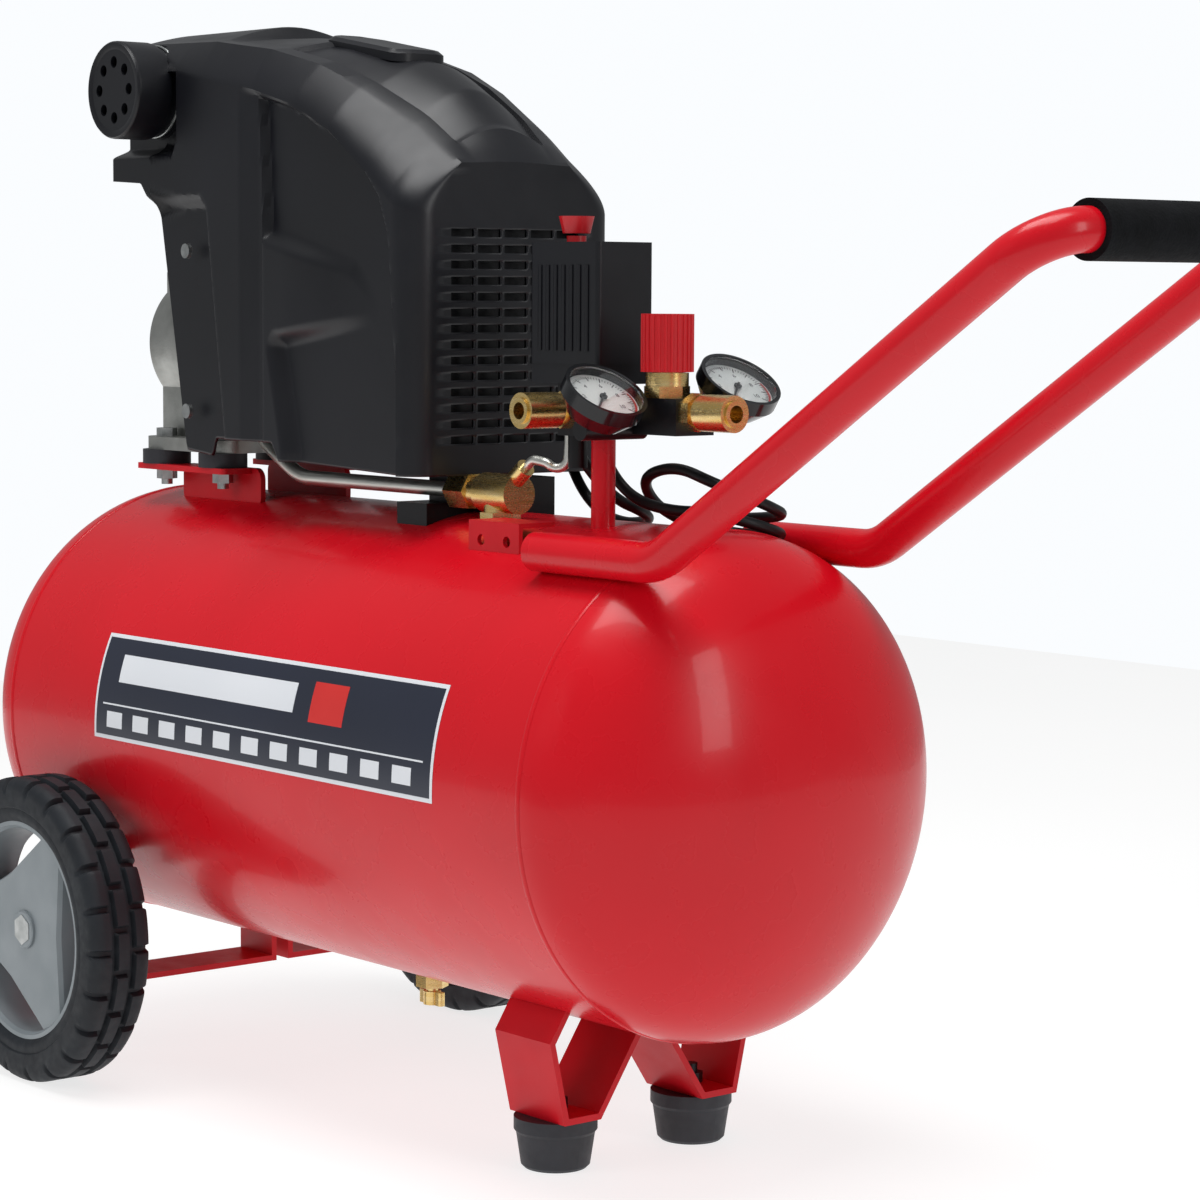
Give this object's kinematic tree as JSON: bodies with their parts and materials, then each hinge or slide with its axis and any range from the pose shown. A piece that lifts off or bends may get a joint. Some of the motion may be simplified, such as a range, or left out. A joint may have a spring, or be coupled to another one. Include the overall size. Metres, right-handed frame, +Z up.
{
  "type": "air compressor",
  "caption": "Portable oil-lubricated air compressor: red tank on two wheels and rubber feet, shrouded pump, gauges, regulator and a tubular handle.",
  "frame": {"origin": "on the floor under the middle of the machine's own box, cable left out", "axes": "+X along the tank towards the handle, -Y the label side, +Z up"},
  "size_m": [1.013, 0.566, 0.719],
  "materials": {
    "red_enamel": "gloss enamel",
    "black_plastic": "satin moulded",
    "black_gauge": "gloss",
    "red_plastic": "satin moulded",
    "grey_plastic": "satin",
    "tyre_rubber": "matt",
    "foot_rubber": "matt",
    "foam": "foam",
    "cast_aluminium": "cast",
    "steel_zinc": "zinc plated",
    "dark_steel": "black oxide",
    "brass": "turned",
    "clear_plastic": "clear",
    "white_needle": "painted",
    "cable_black": "matt",
    "black_block": "black anodised"
  },
  "bodies": {
    "root": {"tank_barrel": "red_enamel", "tank_head_front": "red_enamel", "tank_head_rear": "red_enamel", "drain_valve": "brass", "foot_bracket": "red_enamel", "rubber_feet": "foot_rubber", "foot_bolts": "dark_steel", "axle_brackets": "red_enamel", "axle_bolts": "steel_zinc", "handle_tube": "red_enamel", "handle_grip": "foam", "tab_plate": "red_enamel", "pump_brackets": "red_enamel", "pump_dampers": "foot_rubber", "pump_bolts": "steel_zinc", "motor_saddle": "black_block", "crankcase": "cast_aluminium", "oil_sight_glass": "clear_plastic", "oil_plug": "black_plastic", "cylinder": "cast_aluminium", "cylinder_head": "cast_aluminium", "head_bolts": "steel_zinc", "piston": "cast_aluminium", "connecting_rod": "cast_aluminium", "motor_stator": "dark_steel", "shroud": "black_plastic", "shroud_screws": "steel_zinc", "filter_housing": "black_plastic", "filter_cap": "black_plastic", "delivery_pipe": "cast_aluminium", "check_valve": "brass", "relief_pipe": "cast_aluminium", "standpipe": "red_enamel", "manifold": "black_block", "regulator_body": "brass", "pressure_switch_base": "black_plastic", "pressure_switch_cover": "black_plastic", "coupling_bodies": "brass", "gauge_cases": "black_gauge", "gauge_lenses": "clear_plastic", "safety_valve": "brass", "cable_glands": "black_plastic", "motor_cable": "cable_black", "mains_cable": "cable_black", "mains_cable_coil": "cable_black", "mains_plug": "cable_black"},
    "wheel_left": {"wheel_rim_left": "grey_plastic", "tyre_left": "tyre_rubber"},
    "wheel_right": {"wheel_rim_right": "grey_plastic", "tyre_right": "tyre_rubber"},
    "rotor": {"rotor_shaft": "dark_steel", "cooling_fan": "black_plastic"},
    "switch_knob": {"switch_knob": "red_plastic"},
    "regulator_knob": {"regulator_knob": "red_plastic"},
    "sleeve_left": {"coupling_sleeve_left": "brass"},
    "sleeve_right": {"coupling_sleeve_right": "brass"},
    "needle_left": {"gauge_needle_left": "white_needle"},
    "needle_right": {"gauge_needle_right": "white_needle"},
    "safety_ring": {"safety_ring": "steel_zinc"},
    "drain_screw": {"drain_screw": "brass"}
  },
  "joints": [
    {"name": "wheel_left_spin", "type": "hinge", "parent": "root", "child": "wheel_left", "pos_m": [-0.3325, -0.182, 0.104], "axis": [0, 1, 0], "continuous": true},
    {"name": "wheel_right_spin", "type": "hinge", "parent": "root", "child": "wheel_right", "pos_m": [-0.3325, 0.182, 0.104], "axis": [0, 1, 0], "continuous": true},
    {"name": "rotor_spin", "type": "hinge", "parent": "root", "child": "rotor", "pos_m": [-0.1845, 0, 0.5], "axis": [1, 0, 0], "continuous": true},
    {"name": "switch_knob_travel", "type": "slide", "parent": "root", "child": "switch_knob", "axis": [0, 0, 1], "range_m": [-0.005, 0]},
    {"name": "regulator_knob_turn", "type": "hinge", "parent": "root", "child": "regulator_knob", "pos_m": [0.1275, -0.022, 0.505], "axis": [0, 0, 1], "range_deg": [-540, 540]},
    {"name": "sleeve_left_slide", "type": "slide", "parent": "root", "child": "sleeve_left", "axis": [0, 1, 0], "range_m": [0, 0.0035], "stiffness_N_per_m": 800, "springref_m": -0.002},
    {"name": "sleeve_right_slide", "type": "slide", "parent": "root", "child": "sleeve_right", "axis": [-1, 0, 0], "range_m": [0, 0.0035], "stiffness_N_per_m": 800, "springref_m": -0.002},
    {"name": "needle_left_turn", "type": "hinge", "parent": "root", "child": "needle_left", "pos_m": [0.121, -0.0635, 0.4805], "axis": [0.5736, 0, 0.8192], "range_deg": [-270, 0]},
    {"name": "needle_right_turn", "type": "hinge", "parent": "root", "child": "needle_right", "pos_m": [0.1415, 0.025, 0.486], "axis": [0.5736, 0, 0.8192], "range_deg": [-270, 0]},
    {"name": "safety_ring_pull", "type": "slide", "parent": "root", "child": "safety_ring", "axis": [0, 1, 0], "range_m": [0, 0.003], "stiffness_N_per_m": 1500, "springref_m": -0.001},
    {"name": "drain_screw_turn", "type": "hinge", "parent": "root", "child": "drain_screw", "pos_m": [-0.1345, 0, 0.07], "axis": [0, 0, 1], "range_deg": [0, 360]}
  ]
}
